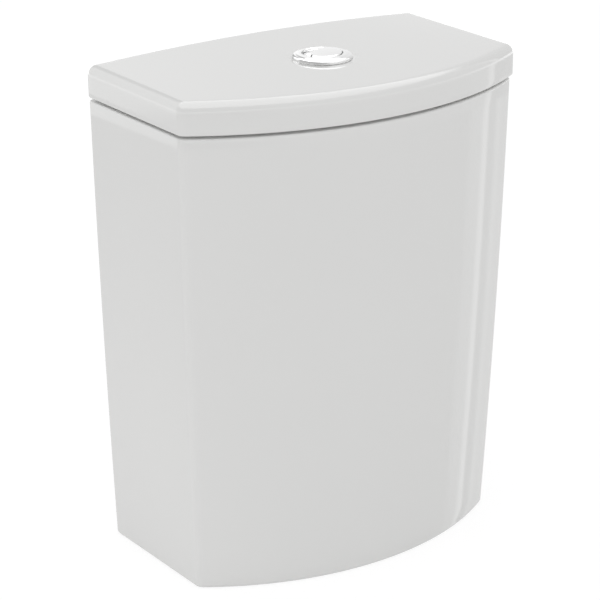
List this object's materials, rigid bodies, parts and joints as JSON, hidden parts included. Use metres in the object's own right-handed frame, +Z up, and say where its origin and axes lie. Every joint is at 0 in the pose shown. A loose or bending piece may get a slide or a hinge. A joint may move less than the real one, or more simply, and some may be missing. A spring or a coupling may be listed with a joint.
{
  "type": "toilet cistern",
  "caption": "Close-coupled toilet cistern with a bow-fronted tapered china tank, crowned lid, round dual push button, caged drop valve and float valve",
  "frame": {"origin": "the middle of the footprint, on the plane of the base rim that the cistern stands on", "axes": "+Z up, +Y towards the wall behind, -Y towards the bowed front, +X to the right seen from the front"},
  "size_m": [0.305, 0.1824, 0.3981],
  "materials": {
    "white_china": "white vitreous china with a clear glossy glaze",
    "chrome_plate": "bright chrome plate on moulded plastic",
    "white_abs": "satin white moulded ABS and acetal",
    "grey_abs": "satin grey moulded plastic",
    "blue_plastic": "satin blue moulded plastic",
    "green_plastic": "satin green moulded plastic",
    "clear_white_plastic": "milky translucent moulded plastic",
    "black_rubber": "matt black moulded rubber",
    "red_silicone": "soft red silicone",
    "zinc_steel": "zinc plated steel",
    "stainless_steel": "drawn stainless steel"
  },
  "bodies": {
    "cistern": {"tank": "white_china", "valve_base": "grey_abs", "outlet_seal_washer": "black_rubber", "outlet_backnut": "grey_abs", "doughnut_gasket": "black_rubber", "tower_cage": "white_abs", "cage_head": "white_abs", "rocker_pins": "stainless_steel", "inlet_shank": "white_abs", "inlet_filter": "clear_white_plastic", "shank_seal_washer": "black_rubber", "shank_backnut": "grey_abs", "riser_tube": "white_abs", "riser_collar": "grey_abs", "valve_head": "white_abs", "head_cap": "grey_abs", "arm_pin": "stainless_steel", "diaphragm": "black_rubber", "silencer_tube": "white_abs", "coupling_bolts": "zinc_steel", "bolt_rubber_washers": "black_rubber", "bolt_steel_washers": "zinc_steel", "bolt_locknuts": "zinc_steel"},
    "lid": {"lid": "white_china", "button_bezel": "chrome_plate", "button_sleeve": "white_abs", "button_gasket": "black_rubber", "button_locknut": "white_abs", "full_button_spring": "stainless_steel", "half_button_spring": "stainless_steel"},
    "full_button": {"full_flush_button": "chrome_plate", "full_push_rod": "white_abs"},
    "half_button": {"half_flush_button": "chrome_plate", "half_push_rod": "white_abs"},
    "full_rocker": {"full_rocker": "blue_plastic"},
    "half_rocker": {"half_rocker": "green_plastic"},
    "lifter": {"full_lifter": "blue_plastic", "full_float": "blue_plastic"},
    "spindle": {"overflow_tube": "clear_white_plastic", "seal_carrier": "grey_abs", "seat_seal": "red_silicone", "half_float": "green_plastic", "tube_lift_bar": "green_plastic"},
    "float": {"float_cup": "clear_white_plastic", "float_link": "white_abs", "adjuster_clip": "blue_plastic"},
    "arm": {"float_arm": "grey_abs", "pilot_seal": "black_rubber"}
  },
  "joints": [
    {"name": "lid_lift", "type": "slide", "parent": "cistern", "child": "lid", "axis": [0, 0, 1], "range_m": [0, 0.14]},
    {"name": "full_button_press", "type": "slide", "parent": "lid", "child": "full_button", "axis": [0, 0, -1], "range_m": [0, 0.007], "stiffness_N_per_m": 1200, "springref_m": -0.004, "deforming": ["full_button_spring"]},
    {"name": "half_button_press", "type": "slide", "parent": "lid", "child": "half_button", "axis": [0, 0, -1], "range_m": [0, 0.007], "stiffness_N_per_m": 1200, "springref_m": -0.004, "deforming": ["half_button_spring"]},
    {"name": "full_rocker_turn", "type": "hinge", "parent": "cistern", "child": "full_rocker", "pos_m": [0.00117, 0.00377, 0.32602], "axis": [0.8141, 0.5807, 0], "range_deg": [0, 33.4]},
    {"name": "half_rocker_turn", "type": "hinge", "parent": "cistern", "child": "half_rocker", "pos_m": [-0.00117, -0.01017, 0.32602], "axis": [-0.8141, -0.5807, 0], "range_deg": [0, 25.6]},
    {"name": "lifter_rise", "type": "slide", "parent": "cistern", "child": "lifter", "axis": [0, 0, 1], "range_m": [0, 0.0094]},
    {"name": "spindle_rise", "type": "slide", "parent": "lifter", "child": "spindle", "axis": [0, 0, 1], "range_m": [0, 0.0072]},
    {"name": "float_rise", "type": "slide", "parent": "cistern", "child": "float", "axis": [0, 0, 1], "range_m": [0, 0.012]},
    {"name": "arm_turn", "type": "hinge", "parent": "cistern", "child": "arm", "pos_m": [-0.096, -0.0032, 0.291], "axis": [0, -1, 0], "range_deg": [0, 17.46]}
  ],
  "couplings": [
    {"joint": "full_rocker_turn", "follows": "full_button_press", "rad_per_m": 83.277},
    {"joint": "half_rocker_turn", "follows": "half_button_press", "rad_per_m": 63.829},
    {"joint": "lifter_rise", "follows": "full_button_press", "ratio": 1.3429},
    {"joint": "spindle_rise", "follows": "half_button_press", "ratio": 1.0286},
    {"joint": "arm_turn", "follows": "float_rise", "rad_per_m": 25.391}
  ]
}
